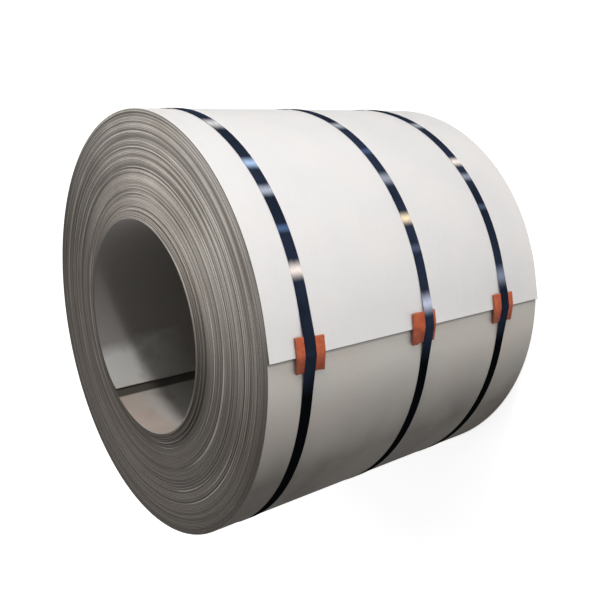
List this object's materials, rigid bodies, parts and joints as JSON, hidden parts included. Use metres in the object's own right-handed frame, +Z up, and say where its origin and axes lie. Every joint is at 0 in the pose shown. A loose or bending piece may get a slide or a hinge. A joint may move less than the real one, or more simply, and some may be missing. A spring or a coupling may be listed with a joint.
{
  "type": "steel coil",
  "caption": "Wound roll of steel strip with an open bore, held by flat steel straps over rubber pads that cover its free edge.",
  "frame": {"origin": "on the axis of the bore, halfway between the strip's two edges", "axes": "+Z up along the bore, towards the end whose inner turns stand proud, +X towards the free outer edge and the pads"},
  "size_m": [1.2047, 1.1942, 1.014],
  "materials": {
    "strip_steel": "matte pickled mill finish",
    "strap_steel": "blued and waxed, glossy",
    "seal_steel": "zinc coated, crimped",
    "pad_rubber": "matte red-brown"
  },
  "bodies": {
    "root": {"coil": "strip_steel", "strap_top": "strap_steel", "seal_top": "seal_steel", "pad_top": "pad_rubber", "strap_middle": "strap_steel", "seal_middle": "seal_steel", "pad_middle": "pad_rubber", "strap_bottom": "strap_steel", "seal_bottom": "seal_steel", "pad_bottom": "pad_rubber"}
  },
  "joints": []
}
